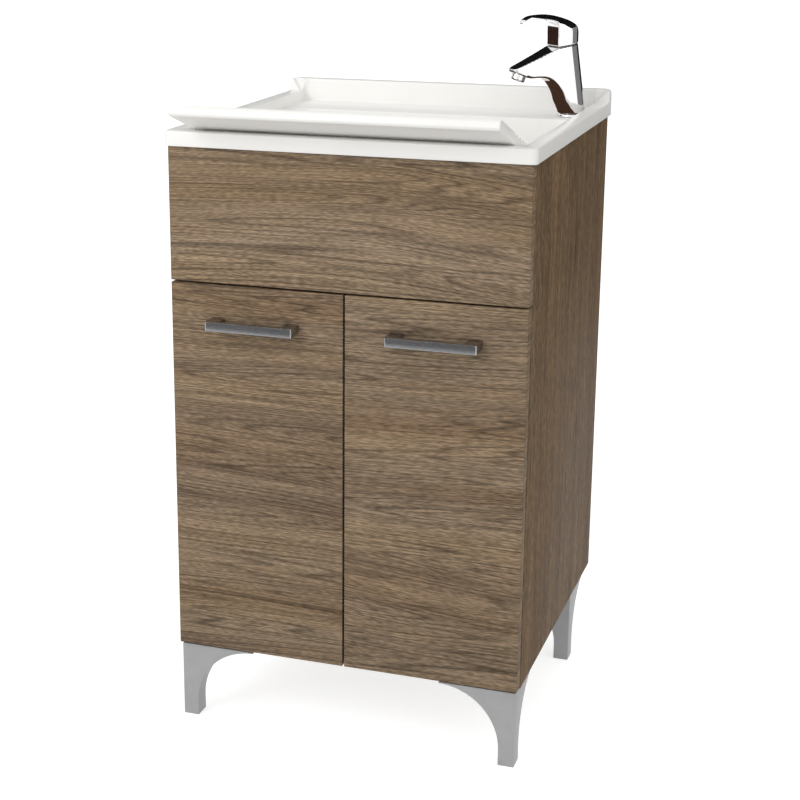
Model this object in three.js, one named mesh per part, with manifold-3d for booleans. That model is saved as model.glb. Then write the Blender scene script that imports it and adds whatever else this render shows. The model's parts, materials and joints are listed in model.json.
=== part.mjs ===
// Utility laundry sink: a two-door floor cabinet on four arched feet, under a 50 x 50 cm basin
// with a removable washboard and a single-lever tap.
// Millimetres, +Z up, the doors face -Y. Inside the cabinet group, x runs from the left side,
// y from the front of the doors and z from the underside of the cabinet.
import * as THREE from 'three';
import { mergeVertices } from 'three/addons/utils/BufferGeometryUtils.js';
import Module from 'manifold-3d';

const wasm = await Module();
wasm.setup();

// ---------------------------------------------------------------- driving dimensions
const GAP = 0.3;                      // between pieces that touch
const WIDTH = 490;                    // cabinet
const DEPTH = 490;
const CARCASS_TOP = 711.7;
const CARCASS_FRONT = 20;
const BOARD = 16;                     // carcass panels
const DOOR_THICKNESS = 18;
const DOOR_BOTTOM = 3;
const DOOR_TOP = 528.5;
const DOOR_GAP = 3;                   // between the doors, and under the fascia
const DOOR_REVEAL = 0.5;              // at the outer edge of each door
const FASCIA_TOP = 711;

const RIM_OVERHANG = 5;               // basin beyond the cabinet on every side
const RIM_BOTTOM = 712;
const RIM_TOP = 732;
const RIM_CORNER = 10;
const LEDGE_TOP = 716;                // sunk ledge and tap deck inside the rim
const DECK_THICKNESS = 7;
const RIM_INNER_SIDE = 17;
const RIM_INNER_FRONT = 19;
const BACKSPLASH_FRONT = 478;
const BACKSPLASH_TOP = 750;
const BACKSPLASH_CORNER = 6;          // at its two upper ends
const SWEEP_START = 466;              // where the side rims begin to rise to the backsplash
const WALL = 5;                       // basin wall
const FLOOR_TOP = 478;
const BOWL_CORNER = 0.16;             // corner radius as a share of the half width

const FOOT_HEIGHT = 110;
const FOOT_LEG_X = 22;
const FOOT_LEG_Y = 26;
const FOOT_ARCH = 85;                 // radius of the arch on each wing
const FOOT_WEB = 2;                   // wing thickness left at its thin end
const FOOT_INSET = 2.5;
const FOOT_FRONT_Y = 4;
const FOOT_REAR_Y = 359;

const WASHBOARD_X = [29, 461];
const WASHBOARD_NOSE_Y = -62;
const WASHBOARD_LENGTH = 415;
const WASHBOARD_THICKNESS = 15;
const WASHBOARD_SLOPE = THREE.MathUtils.degToRad(19);
const NOSE_CHAMFER = 3;
const RIB_PITCH = 18;
const RIB_HEIGHT = 3;
const LUG_Y = [290, 325];

const HANDLE_X = [59, 182];           // on the left door, mirrored on the right one
const HANDLE_Z = [472, 484];
const HANDLE_STANDOFF = 28;
const HANDLE_BAR = 8;
const HANDLE_POST = 18;
const SCREW_RADIUS = 2;

const HINGE_HEIGHTS = { lower: 90, upper: 440 };
const CUP_RADIUS = 17.5;
const CUP_CENTRE = 22;                // from the door's outer edge
const CUP_DEPTH = 12;

const DRAIN = { x: 245, y: 215 };
const DRAIN_HOLE = 28;
const OUTLET_Z = 372;

const TAP = { x: 449, y: 425 };
const TAP_TURN = THREE.MathUtils.degToRad(225);   // spout points to the front left
const TAP_HOLE = 17.5;
const TAP_LEAN = 0.17;                // how far the body's sides lean forward, per unit of height
const JOINT_BACK = { u: -2.5, z: 107.3 };         // joint plane under the lever cap
const JOINT_FRONT = { u: 37, z: 101.4 };

const FOREMOST_Y = WASHBOARD_NOSE_Y + NOSE_CHAMFER * Math.sin(WASHBOARD_SLOPE);
const DEPTH_MIDDLE = (FOREMOST_Y + DEPTH + RIM_OVERHANG) / 2;

// ---------------------------------------------------------------- materials
function material(color, roughness, metalness) {
  return new THREE.MeshStandardMaterial({ color, roughness, metalness });
}

const woodBoard = () => material(0x8a735c, 0.6, 0);
const paleBoard = () => material(0xd8d2c6, 0.7, 0);
const whitePlastic = () => material(0xefece6, 0.25, 0);
const chrome = () => material(0xd6d8db, 0.08, 1);
const satinSteel = () => material(0x9a9da3, 0.32, 1);
const greyPaint = () => material(0xb9bcc1, 0.4, 0.6);
const zincSteel = () => material(0xb4b7ba, 0.35, 1);
const greyPlastic = () => material(0xc9cacb, 0.5, 0);
const blackRubber = () => material(0x26272a, 0.8, 0);
const brass = () => material(0xb58e4a, 0.35, 1);

// ---------------------------------------------------------------- solids
function toSolid(geometry) {
  const bare = geometry.clone();
  bare.deleteAttribute('normal');
  bare.deleteAttribute('uv');
  const welded = mergeVertices(bare, 1e-4);
  return new wasm.Manifold(new wasm.Mesh({
    numProp: 3,
    vertProperties: Float32Array.from(welded.attributes.position.array),
    triVerts: Uint32Array.from(welded.index.array),
  }));
}

function toGeometry(solid) {
  const mesh = solid.getMesh();
  const geometry = new THREE.BufferGeometry();
  geometry.setAttribute('position', new THREE.BufferAttribute(mesh.vertProperties, 3));
  geometry.setIndex(new THREE.BufferAttribute(mesh.triVerts, 1));
  const faceted = geometry.toNonIndexed();
  faceted.computeVertexNormals();
  return faceted;
}

function join(...geometries) {
  return toGeometry(geometries.map(toSolid).reduce((whole, piece) => whole.add(piece)));
}

function cut(geometry, ...tools) {
  return toGeometry(tools.map(toSolid).reduce((whole, tool) => whole.subtract(tool), toSolid(geometry)));
}

function common(first, second) {
  return toGeometry(toSolid(first).intersect(toSolid(second)));
}

function block([x0, x1], [y0, y1], [z0, z1]) {
  const geometry = new THREE.BoxGeometry(x1 - x0, y1 - y0, z1 - z0);
  return geometry.translate((x0 + x1) / 2, (y0 + y1) / 2, (z0 + z1) / 2);
}

function rodAlongZ(radius, x, y, [z0, z1], segments = 24) {
  const geometry = new THREE.CylinderGeometry(radius, radius, z1 - z0, segments);
  return geometry.rotateX(Math.PI / 2).translate(x, y, (z0 + z1) / 2);
}

function rodAlongY(radius, x, z, [y0, y1], segments = 24) {
  const geometry = new THREE.CylinderGeometry(radius, radius, y1 - y0, segments);
  return geometry.translate(x, (y0 + y1) / 2, z);
}

// A ring profile of [radius, height] pairs, listed anticlockwise, turned about the Z axis.
function turned(profile, segments = 24) {
  const closed = [...profile];
  if (profile[0][0] > 0) closed.push(profile[0]);
  const points = closed.map(([radius, height]) => new THREE.Vector2(radius, height));
  return new THREE.LatheGeometry(points, segments).rotateX(Math.PI / 2);
}

function polygon(points) {
  return new THREE.Shape(points.map(([a, b]) => new THREE.Vector2(a, b)));
}

function roundedRectangle([x0, x1], [y0, y1], radius) {
  const shape = new THREE.Shape();
  shape.moveTo(x0 + radius, y0);
  shape.lineTo(x1 - radius, y0);
  shape.absarc(x1 - radius, y0 + radius, radius, -Math.PI / 2, 0, false);
  shape.lineTo(x1, y1 - radius);
  shape.absarc(x1 - radius, y1 - radius, radius, 0, Math.PI / 2, false);
  shape.lineTo(x0 + radius, y1);
  shape.absarc(x0 + radius, y1 - radius, radius, Math.PI / 2, Math.PI, false);
  shape.lineTo(x0, y0 + radius);
  shape.absarc(x0 + radius, y0 + radius, radius, Math.PI, 1.5 * Math.PI, false);
  return shape;
}

function extrude(shape, depth, curveSegments = 6, steps = 1) {
  return new THREE.ExtrudeGeometry(shape, { depth, steps, curveSegments, bevelEnabled: false });
}

function upright(shape, [z0, z1], curveSegments) {
  return extrude(shape, z1 - z0, curveSegments).translate(0, 0, z0);
}

const axis = (x, y, z) => new THREE.Vector3(x, y, z);

// A side view drawn in (y, z), as wide as the given x range.
function acrossX(shape, [x0, x1], curveSegments) {
  const turn = new THREE.Matrix4().makeBasis(axis(0, 1, 0), axis(0, 0, 1), axis(1, 0, 0));
  return extrude(shape, x1 - x0, curveSegments).translate(0, 0, x0).applyMatrix4(turn);
}

// A front view drawn in (x, z), as deep as the given y range.
function acrossY(shape, [y0, y1], curveSegments) {
  const turn = new THREE.Matrix4().makeBasis(axis(1, 0, 0), axis(0, 0, 1), axis(0, -1, 0));
  return extrude(shape, y1 - y0, curveSegments).translate(0, 0, -y1).applyMatrix4(turn);
}

// A block of rounded rectangular rings, each { z, x: [low, high], y: [low, high] }, bottom first.
function tapered(rings) {
  const steps = rings.length - 1;
  const geometry = extrude(roundedRectangle([-1, 1], [-1, 1], BOWL_CORNER), steps, 4, steps);
  const position = geometry.attributes.position;
  for (let index = 0; index < position.count; index += 1) {
    const ring = rings[Math.round(position.getZ(index))];
    const across = THREE.MathUtils.mapLinear(position.getX(index), -1, 1, ...ring.x);
    const along = THREE.MathUtils.mapLinear(position.getY(index), -1, 1, ...ring.y);
    position.setXYZ(index, across, along, ring.z);
  }
  return geometry;
}

function named(name, geometry, finish) {
  const mesh = new THREE.Mesh(geometry, finish);
  mesh.name = name;
  return mesh;
}

// ---------------------------------------------------------------- carcass
const INSIDE_X = [BOARD + GAP, WIDTH - BOARD - GAP];
const BACK_PANEL_Y = [DEPTH - 4, DEPTH];
const SERVICE_CUT = { x: [150, 340], z: [300, 560] };
const RAIL = BOARD;

function backPanel() {
  const sheet = block(INSIDE_X, BACK_PANEL_Y, [0, 700]);
  return cut(sheet, block(SERVICE_CUT.x, [DEPTH - 10, DEPTH + 10], SERVICE_CUT.z));
}

function carcass() {
  const sideY = [CARCASS_FRONT, DEPTH];
  const insideY = [CARCASS_FRONT, BACK_PANEL_Y[0] - GAP];
  return [
    named('side_panel_left', block([0, BOARD], sideY, [0, CARCASS_TOP]), woodBoard()),
    named('side_panel_right', block([WIDTH - BOARD, WIDTH], sideY, [0, CARCASS_TOP]), woodBoard()),
    named('bottom_panel', block(INSIDE_X, insideY, [0, BOARD]), paleBoard()),
    named('back_panel', backPanel(), paleBoard()),
    named('front_rail', block(INSIDE_X, [CARCASS_FRONT, CARCASS_FRONT + RAIL], [500, 560]), paleBoard()),
    named('rear_rail', block(INSIDE_X, [466, 466 + RAIL], [640, 700]), paleBoard()),
  ];
}

function fasciaBracket(name, mirrored) {
  const z = [563, 600];
  const onPanel = block([BOARD + GAP, BOARD + 2], [DOOR_THICKNESS + GAP, 50], z);
  const onFascia = block([BOARD + GAP, 46], [DOOR_THICKNESS + GAP, DOOR_THICKNESS + 1.8], z);
  const bracket = join(onPanel, onFascia);
  return named(name, mirrored ? mirror(bracket) : bracket, zincSteel());
}

// The same piece on the other side of the cabinet.
function mirror(geometry) {
  const flipped = geometry.clone().scale(-1, 1, 1).translate(WIDTH, 0, 0);
  const position = flipped.attributes.position;
  const corner = new THREE.Vector3();
  const other = new THREE.Vector3();
  for (let first = 0; first < position.count; first += 3) {
    corner.fromBufferAttribute(position, first);
    other.fromBufferAttribute(position, first + 1);
    position.setXYZ(first, other.x, other.y, other.z);
    position.setXYZ(first + 1, corner.x, corner.y, corner.z);
  }
  flipped.computeVertexNormals();
  return flipped;
}

function fascia() {
  const z = [DOOR_TOP + DOOR_GAP, FASCIA_TOP];
  return [
    named('fascia_panel', block([0, WIDTH], [0, DOOR_THICKNESS], z), woodBoard()),
    fasciaBracket('fascia_bracket_left', false),
    fasciaBracket('fascia_bracket_right', true),
  ];
}

// ---------------------------------------------------------------- doors
const DOOR_X = [DOOR_REVEAL, WIDTH / 2 - DOOR_GAP / 2];
const HANDLE_MIDDLE_Z = (HANDLE_Z[0] + HANDLE_Z[1]) / 2;
const SCREW_X = [HANDLE_X[0] + HANDLE_POST / 2, HANDLE_X[1] - HANDLE_POST / 2];
const CUP_X = DOOR_X[0] + CUP_CENTRE;

function doorLeaf() {
  const leaf = block(DOOR_X, [0, DOOR_THICKNESS], [DOOR_BOTTOM, DOOR_TOP]);
  const screwHoles = SCREW_X.map((x) => rodAlongY(SCREW_RADIUS + GAP, x, HANDLE_MIDDLE_Z, [-1, 19], 12));
  const cupY = [DOOR_THICKNESS - CUP_DEPTH - GAP, DOOR_THICKNESS + 1];
  const cupHoles = Object.values(HINGE_HEIGHTS).map((z) => rodAlongY(CUP_RADIUS + GAP, CUP_X, z, cupY));
  return cut(leaf, ...screwHoles, ...cupHoles);
}

function bridgeHandle() {
  const front = -HANDLE_STANDOFF;
  const inner = front + HANDLE_BAR;
  const round = 3;
  const outline = new THREE.Shape();
  outline.moveTo(HANDLE_X[0], -GAP);
  outline.lineTo(HANDLE_X[0], front + round);
  outline.absarc(HANDLE_X[0] + round, front + round, round, Math.PI, 1.5 * Math.PI, false);
  outline.lineTo(HANDLE_X[1] - round, front);
  outline.absarc(HANDLE_X[1] - round, front + round, round, 1.5 * Math.PI, 2 * Math.PI, false);
  outline.lineTo(HANDLE_X[1], -GAP);
  outline.lineTo(HANDLE_X[1] - HANDLE_POST, -GAP);
  outline.lineTo(HANDLE_X[1] - HANDLE_POST, inner);
  outline.lineTo(HANDLE_X[0] + HANDLE_POST, inner);
  outline.lineTo(HANDLE_X[0] + HANDLE_POST, -GAP);
  const bar = upright(outline, HANDLE_Z, 4);
  const holeY = [-GAP - 12, 1];
  return cut(bar, ...SCREW_X.map((x) => rodAlongY(SCREW_RADIUS + GAP, x, HANDLE_MIDDLE_Z, holeY, 12)));
}

function handleScrew(x) {
  const shank = rodAlongY(SCREW_RADIUS, x, HANDLE_MIDDLE_Z, [-10, DOOR_THICKNESS + GAP + 0.5], 12);
  const head = rodAlongY(4, x, HANDLE_MIDDLE_Z, [DOOR_THICKNESS + GAP, DOOR_THICKNESS + 2.8], 12);
  return join(shank, head);
}

function hingeCup(z) {
  const cup = rodAlongY(CUP_RADIUS, CUP_X, z, [DOOR_THICKNESS - CUP_DEPTH, DOOR_THICKNESS + 0.5]);
  const well = block([CUP_X - 8, CUP_X + 12], [DOOR_THICKNESS - CUP_DEPTH + 1, 30], [z - 9, z + 9]);
  const flangeY = [DOOR_THICKNESS + GAP, DOOR_THICKNESS + 1.2];
  const flange = block([CUP_X - 8, CUP_X + 14], flangeY, [z - 26, z + 26]);
  return cut(join(cup, flange), well);
}

function hingeArm(z) {
  const plate = block([BOARD + GAP, BOARD + 2.5], [42, 74], [z - 26, z + 26]);
  const arm = block([BOARD + 2, BOARD + 14], [CARCASS_FRONT + 0.4, 80], [z - 7, z + 7]);
  return join(plate, arm);
}

function bumper(z) {
  return rodAlongY(5, DOOR_X[1] - 12, z, [DOOR_THICKNESS + GAP, CARCASS_FRONT - GAP], 12);
}

function door(side, mirrored) {
  const placed = (geometry) => (mirrored ? mirror(geometry.index ? geometry.toNonIndexed() : geometry) : geometry);
  const meshes = [
    named(`door_${side}`, placed(doorLeaf()), woodBoard()),
    named(`handle_${side}`, placed(bridgeHandle()), satinSteel()),
    named(`handle_screw_${side}_outer`, placed(handleScrew(SCREW_X[0])), zincSteel()),
    named(`handle_screw_${side}_inner`, placed(handleScrew(SCREW_X[1])), zincSteel()),
    named(`bumper_${side}_upper`, placed(bumper(518)), blackRubber()),
    named(`bumper_${side}_lower`, placed(bumper(9)), blackRubber()),
  ];
  for (const [level, z] of Object.entries(HINGE_HEIGHTS)) {
    meshes.push(named(`hinge_cup_${side}_${level}`, placed(hingeCup(z)), zincSteel()));
    meshes.push(named(`hinge_arm_${side}_${level}`, placed(hingeArm(z)), zincSteel()));
  }
  return meshes;
}

// ---------------------------------------------------------------- feet
// A wing seen from the side: square leg, then an arch up to a thin end. a runs from the leg's
// outer face.
function wing(legWidth) {
  const top = -GAP;
  const archTop = -FOOT_WEB;
  const archBottom = archTop - FOOT_ARCH;
  const shape = new THREE.Shape();
  shape.moveTo(0, -FOOT_HEIGHT);
  shape.lineTo(legWidth, -FOOT_HEIGHT);
  shape.lineTo(legWidth, archBottom);
  shape.absarc(legWidth + FOOT_ARCH, archBottom, FOOT_ARCH, Math.PI, Math.PI / 2, true);
  shape.lineTo(legWidth + FOOT_ARCH, top);
  shape.lineTo(0, top);
  return shape;
}

function footLeft(y) {
  const inward = acrossY(wing(FOOT_LEG_X), [0, FOOT_LEG_Y], 12);
  const backward = acrossX(wing(FOOT_LEG_Y), [0, FOOT_LEG_X], 12);
  return join(inward, backward).translate(FOOT_INSET, y, 0);
}

function feet() {
  return [
    named('foot_front_left', footLeft(FOOT_FRONT_Y), greyPaint()),
    named('foot_front_right', mirror(footLeft(FOOT_FRONT_Y)), greyPaint()),
    named('foot_rear_left', footLeft(FOOT_REAR_Y), greyPaint()),
    named('foot_rear_right', mirror(footLeft(FOOT_REAR_Y)), greyPaint()),
  ];
}

// ---------------------------------------------------------------- basin
const OUTER = [-RIM_OVERHANG, WIDTH + RIM_OVERHANG];
const BOWL_RINGS = [
  { z: FLOOR_TOP, x: [75, 415], y: [95, 335] },
  { z: 490, x: [50, 440], y: [74, 355] },
  { z: 560, x: [31, 459], y: [56, 374] },
  { z: 640, x: [27, 463], y: [44, 384] },
  { z: LEDGE_TOP + 1, x: [23, 467], y: [32, 390] },
];

// Height of the washboard's underside over a point at depth y.
function washboardUnderside(y) {
  return RIM_TOP + GAP - Math.tan(WASHBOARD_SLOPE) * (y - RIM_INNER_FRONT);
}

function bowlOutside() {
  const rings = BOWL_RINGS.map(({ z, x, y }) => ({
    z: z - (z === FLOOR_TOP ? DECK_THICKNESS : WALL),
    x: [x[0] - WALL, x[1] + WALL],
    y: [y[0] - WALL, y[1] + WALL],
  }));
  return tapered(rings);
}

function rimSweep(x) {
  const shape = new THREE.Shape();
  shape.moveTo(SWEEP_START, RIM_TOP - 2);
  shape.lineTo(SWEEP_START, RIM_TOP);
  shape.quadraticCurveTo(BACKSPLASH_FRONT - 8, RIM_TOP, BACKSPLASH_FRONT, BACKSPLASH_TOP);
  shape.lineTo(BACKSPLASH_FRONT + 4, BACKSPLASH_TOP);
  shape.lineTo(BACKSPLASH_FRONT + 4, RIM_TOP - 2);
  return acrossX(shape, x, 6);
}

function washboardLug() {
  const shape = polygon([
    [LUG_Y[0], washboardUnderside(LUG_Y[0]) - 24],
    [LUG_Y[1], washboardUnderside(LUG_Y[1]) - 14],
    [LUG_Y[1], washboardUnderside(LUG_Y[1]) - GAP],
    [LUG_Y[0], washboardUnderside(LUG_Y[0]) - GAP],
  ]);
  return acrossX(shape, [24.5, 42]);
}

function basin() {
  const rim = upright(roundedRectangle(OUTER, OUTER, RIM_CORNER), [RIM_BOTTOM, RIM_TOP], 6);
  const wellX = [RIM_INNER_SIDE, WIDTH - RIM_INNER_SIDE];
  const wellY = [RIM_INNER_FRONT, BACKSPLASH_FRONT];
  const well = upright(roundedRectangle(wellX, wellY, 8), [LEDGE_TOP, BACKSPLASH_TOP + 10], 4);
  const insetX = [INSIDE_X[0] + 0.2, INSIDE_X[1] - 0.2];
  const deck = block(insetX, [DOOR_THICKNESS + GAP, 484], [LEDGE_TOP - DECK_THICKNESS, LEDGE_TOP - 1]);
  const splashY = [BACKSPLASH_FRONT, DEPTH + RIM_OVERHANG];
  const splash = upright(roundedRectangle(OUTER, splashY, 6), [RIM_TOP - 2, BACKSPLASH_TOP], 4);
  const sweepLeft = rimSweep([OUTER[0], RIM_INNER_SIDE]);
  const sweepRight = rimSweep([WIDTH - RIM_INNER_SIDE, OUTER[1]]);
  const frontView = roundedRectangle(OUTER, [RIM_TOP - 20, BACKSPLASH_TOP], BACKSPLASH_CORNER);
  const rise = common(join(splash, sweepLeft, sweepRight), acrossY(frontView, [SWEEP_START - 1, 500], 4));
  const shell = join(cut(join(rim, deck), well), bowlOutside(), rise);
  const drainHole = rodAlongZ(DRAIN_HOLE, DRAIN.x, DRAIN.y, [FLOOR_TOP - 20, FLOOR_TOP + 20]);
  const tapHole = rodAlongZ(TAP_HOLE, TAP.x, TAP.y, [LEDGE_TOP - 30, LEDGE_TOP + 30]);
  const open = cut(shell, tapered(BOWL_RINGS), drainHole, tapHole);
  const lug = washboardLug();
  const otherLug = lug.clone().translate(WIDTH - 24.5 - 42, 0, 0);
  return [named('basin', join(open, lug, otherLug), whitePlastic())];
}

// ---------------------------------------------------------------- washboard
// Side view along the board: a runs down the slope from the nose, b is the height above the
// underside. Ribs cross the top between the nose and the lower end.
function washboardProfile() {
  const plain = 60;
  const top = WASHBOARD_THICKNESS;
  const low = top - RIB_HEIGHT;
  const points = [[0, NOSE_CHAMFER], [NOSE_CHAMFER, 0]];
  points.push([WASHBOARD_LENGTH - 5, 0], [WASHBOARD_LENGTH, 5]);
  points.push([WASHBOARD_LENGTH, top - 5], [WASHBOARD_LENGTH - 5, top]);
  const ribs = Math.floor((WASHBOARD_LENGTH - plain - 20) / RIB_PITCH);
  const start = WASHBOARD_LENGTH - 16;
  for (let rib = 0; rib < ribs; rib += 1) {
    const edge = start - rib * RIB_PITCH;
    points.push([edge, top], [edge - 4, low], [edge - 8, low], [edge - 13, top]);
  }
  points.push([5, top], [0, top - 5]);
  return polygon(points);
}

function washboard() {
  const length = WASHBOARD_X[1] - WASHBOARD_X[0];
  const board = acrossX(washboardProfile(), [0, length]);
  const mesh = named('washboard', board, whitePlastic());
  mesh.position.set(WASHBOARD_X[0], WASHBOARD_NOSE_Y, washboardUnderside(WASHBOARD_NOSE_Y));
  mesh.rotation.x = -WASHBOARD_SLOPE;
  return [mesh];
}

// ---------------------------------------------------------------- waste and trap
function atDrain(geometry) {
  return geometry.translate(DRAIN.x, DRAIN.y, 0);
}

function wasteFlange() {
  const profile = [[18, 440], [27.5, 440], [27.5, 478.3], [40, 478.3], [39, 480.5], [24, 480.5]];
  return atDrain(turned([...profile, [22, 478], [22, 470], [18, 470]], 32));
}

function drainPlug() {
  const profile = [[0, 470.3], [21, 470.3], [21.6, 478], [20, 480], [5, 481], [4, 488], [6, 490]];
  return atDrain(turned([...profile, [5, 493], [0, 493]], 24));
}

function ring(inner, outer, z0, z1, segments = 24) {
  return atDrain(turned([[inner, z0], [outer, z0], [outer, z1], [inner, z1]], segments));
}

function tailNut() {
  return atDrain(turned([[18.3, 424], [34, 424], [35, 450], [28, 450], [28, 439.7], [18.3, 439.7]]));
}

function trapBody() {
  const bottle = turned([[18.3, 392], [18.3, 388], [31, 388], [31, 300], [34, 300], [34, 392]]);
  const outerTube = rodAlongY(17, 0, OUTLET_Z, [30, 62]);
  const bore = rodAlongY(14.5, 0, OUTLET_Z, [20, 70]);
  return atDrain(cut(join(bottle, outerTube), bore));
}

function trapCup() {
  const inside = [[34.3, 310], [34.3, 299.7], [30, 299.7], [30, 284], [0, 284]];
  return atDrain(turned([[0, 270], [28, 270], [37, 280], [37, 310], ...inside]));
}

function outletNut() {
  const nut = turned([[14.6, -13], [22, -13], [22, 13], [17.3, 13], [17.3, -2], [14.6, -2]]);
  return nut.rotateX(Math.PI / 2).translate(DRAIN.x, DRAIN.y + 62, OUTLET_Z);
}

function outletPipe() {
  const y = [DRAIN.y + 50, 492];
  const pipe = rodAlongY(14.2, DRAIN.x, OUTLET_Z, y);
  return cut(pipe, rodAlongY(12, DRAIN.x, OUTLET_Z, [y[0] - 5, y[1] + 5]));
}

function waste() {
  const hexagon = rodAlongZ(42, DRAIN.x, DRAIN.y, [454, 467], 6);
  const nut = cut(hexagon, rodAlongZ(DRAIN_HOLE + GAP, DRAIN.x, DRAIN.y, [440, 480], 32));
  return [
    named('waste_flange', wasteFlange(), chrome()),
    named('drain_plug', drainPlug(), blackRubber()),
    named('waste_gasket', ring(28.4, 39, 467.5, 470.7), blackRubber()),
    named('waste_nut', nut, greyPlastic()),
    named('tail_pipe', ring(15.5, 17.7, 345, 466), greyPlastic()),
    named('tail_nut', tailNut(), greyPlastic()),
    named('trap_body', trapBody(), greyPlastic()),
    named('trap_cup', trapCup(), greyPlastic()),
    named('outlet_pipe', outletPipe(), greyPlastic()),
    named('outlet_nut', outletNut(), greyPlastic()),
  ];
}

// ---------------------------------------------------------------- tap
// Drawn with u towards the spout tip and heights above the deck, then turned into place.
const JOINT_TILT = Math.atan2(JOINT_BACK.z - JOINT_FRONT.z, JOINT_FRONT.u - JOINT_BACK.u);
const JOINT_MIDDLE = { u: (JOINT_BACK.u + JOINT_FRONT.u) / 2, z: (JOINT_BACK.z + JOINT_FRONT.z) / 2 };

// A plan view that starts round at the back, keeps its width and narrows to a round end.
function tapPlan(centre, radius, end, endHalf) {
  const shape = new THREE.Shape();
  shape.moveTo(centre, -radius);
  shape.lineTo(end - endHalf, -endHalf);
  shape.absarc(end - endHalf, 0, endHalf, -Math.PI / 2, Math.PI / 2, false);
  shape.lineTo(centre, radius);
  shape.absarc(centre, 0, radius, Math.PI / 2, 1.5 * Math.PI, false);
  return shape;
}

// A rod along the normal of the joint plane, between two heights over that plane.
function rodInJoint(radius, [low, high], segments = 24) {
  const rod = rodAlongZ(radius, 0, 0, [low, high], segments);
  return rod.rotateY(JOINT_TILT).translate(JOINT_MIDDLE.u, 0, JOINT_MIDDLE.z);
}

const SPOUT_OUTLINE = [
  [-20, 5.3], [22, 5.3], [24, 21], [28, 34], [37, 47], [48, 56], [60, 59], [75, 58.6],
  [79.5, 58.8], [102.3, 68.1], [104.4, 69.6], [105, 71.5], [103.5, 73.2], [85, 80.7],
  [60, 91], [37, 101.1], [-2.5, 107], [-5, 95], [-9, 75], [-13, 50], [-18, 22],
];
const AERATOR = { u: 91, z: 63.49, radius: 10, height: 7.5 };
const AERATOR_TILT = -Math.atan2(9.3, 22.8);      // its seat runs parallel to the top of the spout

// Round outline of the body's foot, which opens out to the full casting above it.
const FOOT_FLARE = [[0, 5], [20.5, 5], [21.5, 9], [25, 17], [33, 28], [60, 42], [110, 52], [110, 120], [0, 120]];

const LEVER_OUTLINE = [
  [-2.5, 107.6], [37, 101.7], [37.5, 128], [39, 137], [51, 140], [66, 141], [80, 140], [90, 134],
  [91, 136], [84, 142], [72, 146], [51, 147], [37, 145], [19, 139], [7.5, 131.5], [1, 123],
  [-2, 114],
];

// Half widths of the lever and its cap at rising heights, seen along the spout.
const CAP_HALF_WIDTHS = [[19.3, 98], [19.3, 116], [18, 126], [15, 134], [12, 140], [9, 148]];

function tapBody() {
  const side = acrossY(polygon(SPOUT_OUTLINE), [-30, 30]);
  const lean = new THREE.Matrix4().makeShear(0, 0, 0, 0, TAP_LEAN, 0);
  const plan = upright(tapPlan(0, 20, 95, 12), [0, 120], 12).applyMatrix4(lean);
  const casting = common(common(side, plan), turned(FOOT_FLARE, 48));
  return cut(casting, rodInJoint(12.6, [-38, 10]));
}

function tapAerator() {
  const { u, z, radius, height } = AERATOR;
  return rodAlongZ(radius, 0, 0, [-GAP - height, -GAP]).rotateY(AERATOR_TILT).translate(u, 0, z);
}

function tapLever() {
  const side = acrossY(polygon(LEVER_OUTLINE), [-30, 30]);
  const plan = upright(tapPlan(16.5, 19.2, 92, 8), [90, 160], 12);
  const otherHalf = [...CAP_HALF_WIDTHS].reverse().map(([half, z]) => [-half, z]);
  const front = acrossX(polygon([...CAP_HALF_WIDTHS, ...otherHalf]), [-30, 120]);
  return cut(common(common(side, plan), front), rodInJoint(12.5, [-10, 11]));
}

function tap() {
  const baseRing = turned([[0, 0.3], [20.5, 0.3], [20.5, 3], [19, 5], [0, 5]], 32);
  const holder = new THREE.Group();
  holder.position.set(TAP.x, TAP.y, LEDGE_TOP);
  holder.rotation.z = TAP_TURN;
  const cartridge = cut(rodInJoint(12.3, [-37.5, -2]), rodInJoint(6.2, [-14, 4], 16));
  const bore = rodAlongZ(14.3, 0, 0, [-40, 0]);
  holder.add(
    named('tap_base_ring', baseRing, chrome()),
    named('tap_body', tapBody(), chrome()),
    named('tap_cartridge', cartridge, greyPlastic()),
    named('tap_stem', rodInJoint(6, [-13.7, 5], 16), brass()),
    named('tap_lever', tapLever(), chrome()),
    named('tap_aerator', tapAerator(), satinSteel()),
    named('tap_shank', rodAlongZ(14, 0, 0, [-58, 0]), brass()),
    named('tap_washer', cut(rodAlongZ(23.5, 0, 0, [-12.5, -7.3]), bore), blackRubber()),
    named('tap_nut', cut(rodAlongZ(24, 0, 0, [-24, -12.8], 6), bore), brass()),
    named('tap_inlet_hot', rodAlongZ(5, 0, -6.5, [-86, -58.3], 12), brass()),
    named('tap_inlet_cold', rodAlongZ(5, 0, 6.5, [-86, -58.3], 12), brass()),
  );
  return [holder];
}

// ---------------------------------------------------------------- assembly
const cabinet = new THREE.Group();
cabinet.position.set(-WIDTH / 2, -DEPTH_MIDDLE, FOOT_HEIGHT);
cabinet.add(
  ...carcass(),
  ...fascia(),
  ...door('left', false),
  ...door('right', true),
  ...feet(),
  ...basin(),
  ...washboard(),
  ...waste(),
  ...tap(),
);

const group = new THREE.Group();
group.add(cabinet);

export default group;
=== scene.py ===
"""Utility laundry sink: the looks of a two-door cabinet with a moulded basin, a sloping washboard
and a single-lever tap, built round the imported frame.

Measures are millimetres from the cabinet's left side, the front of its doors and its underside;
at() turns them into the frame's metres. The stage at the end is in metres.
"""
import json
import math

import bmesh
import bpy
from mathutils import Matrix, Vector

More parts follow.
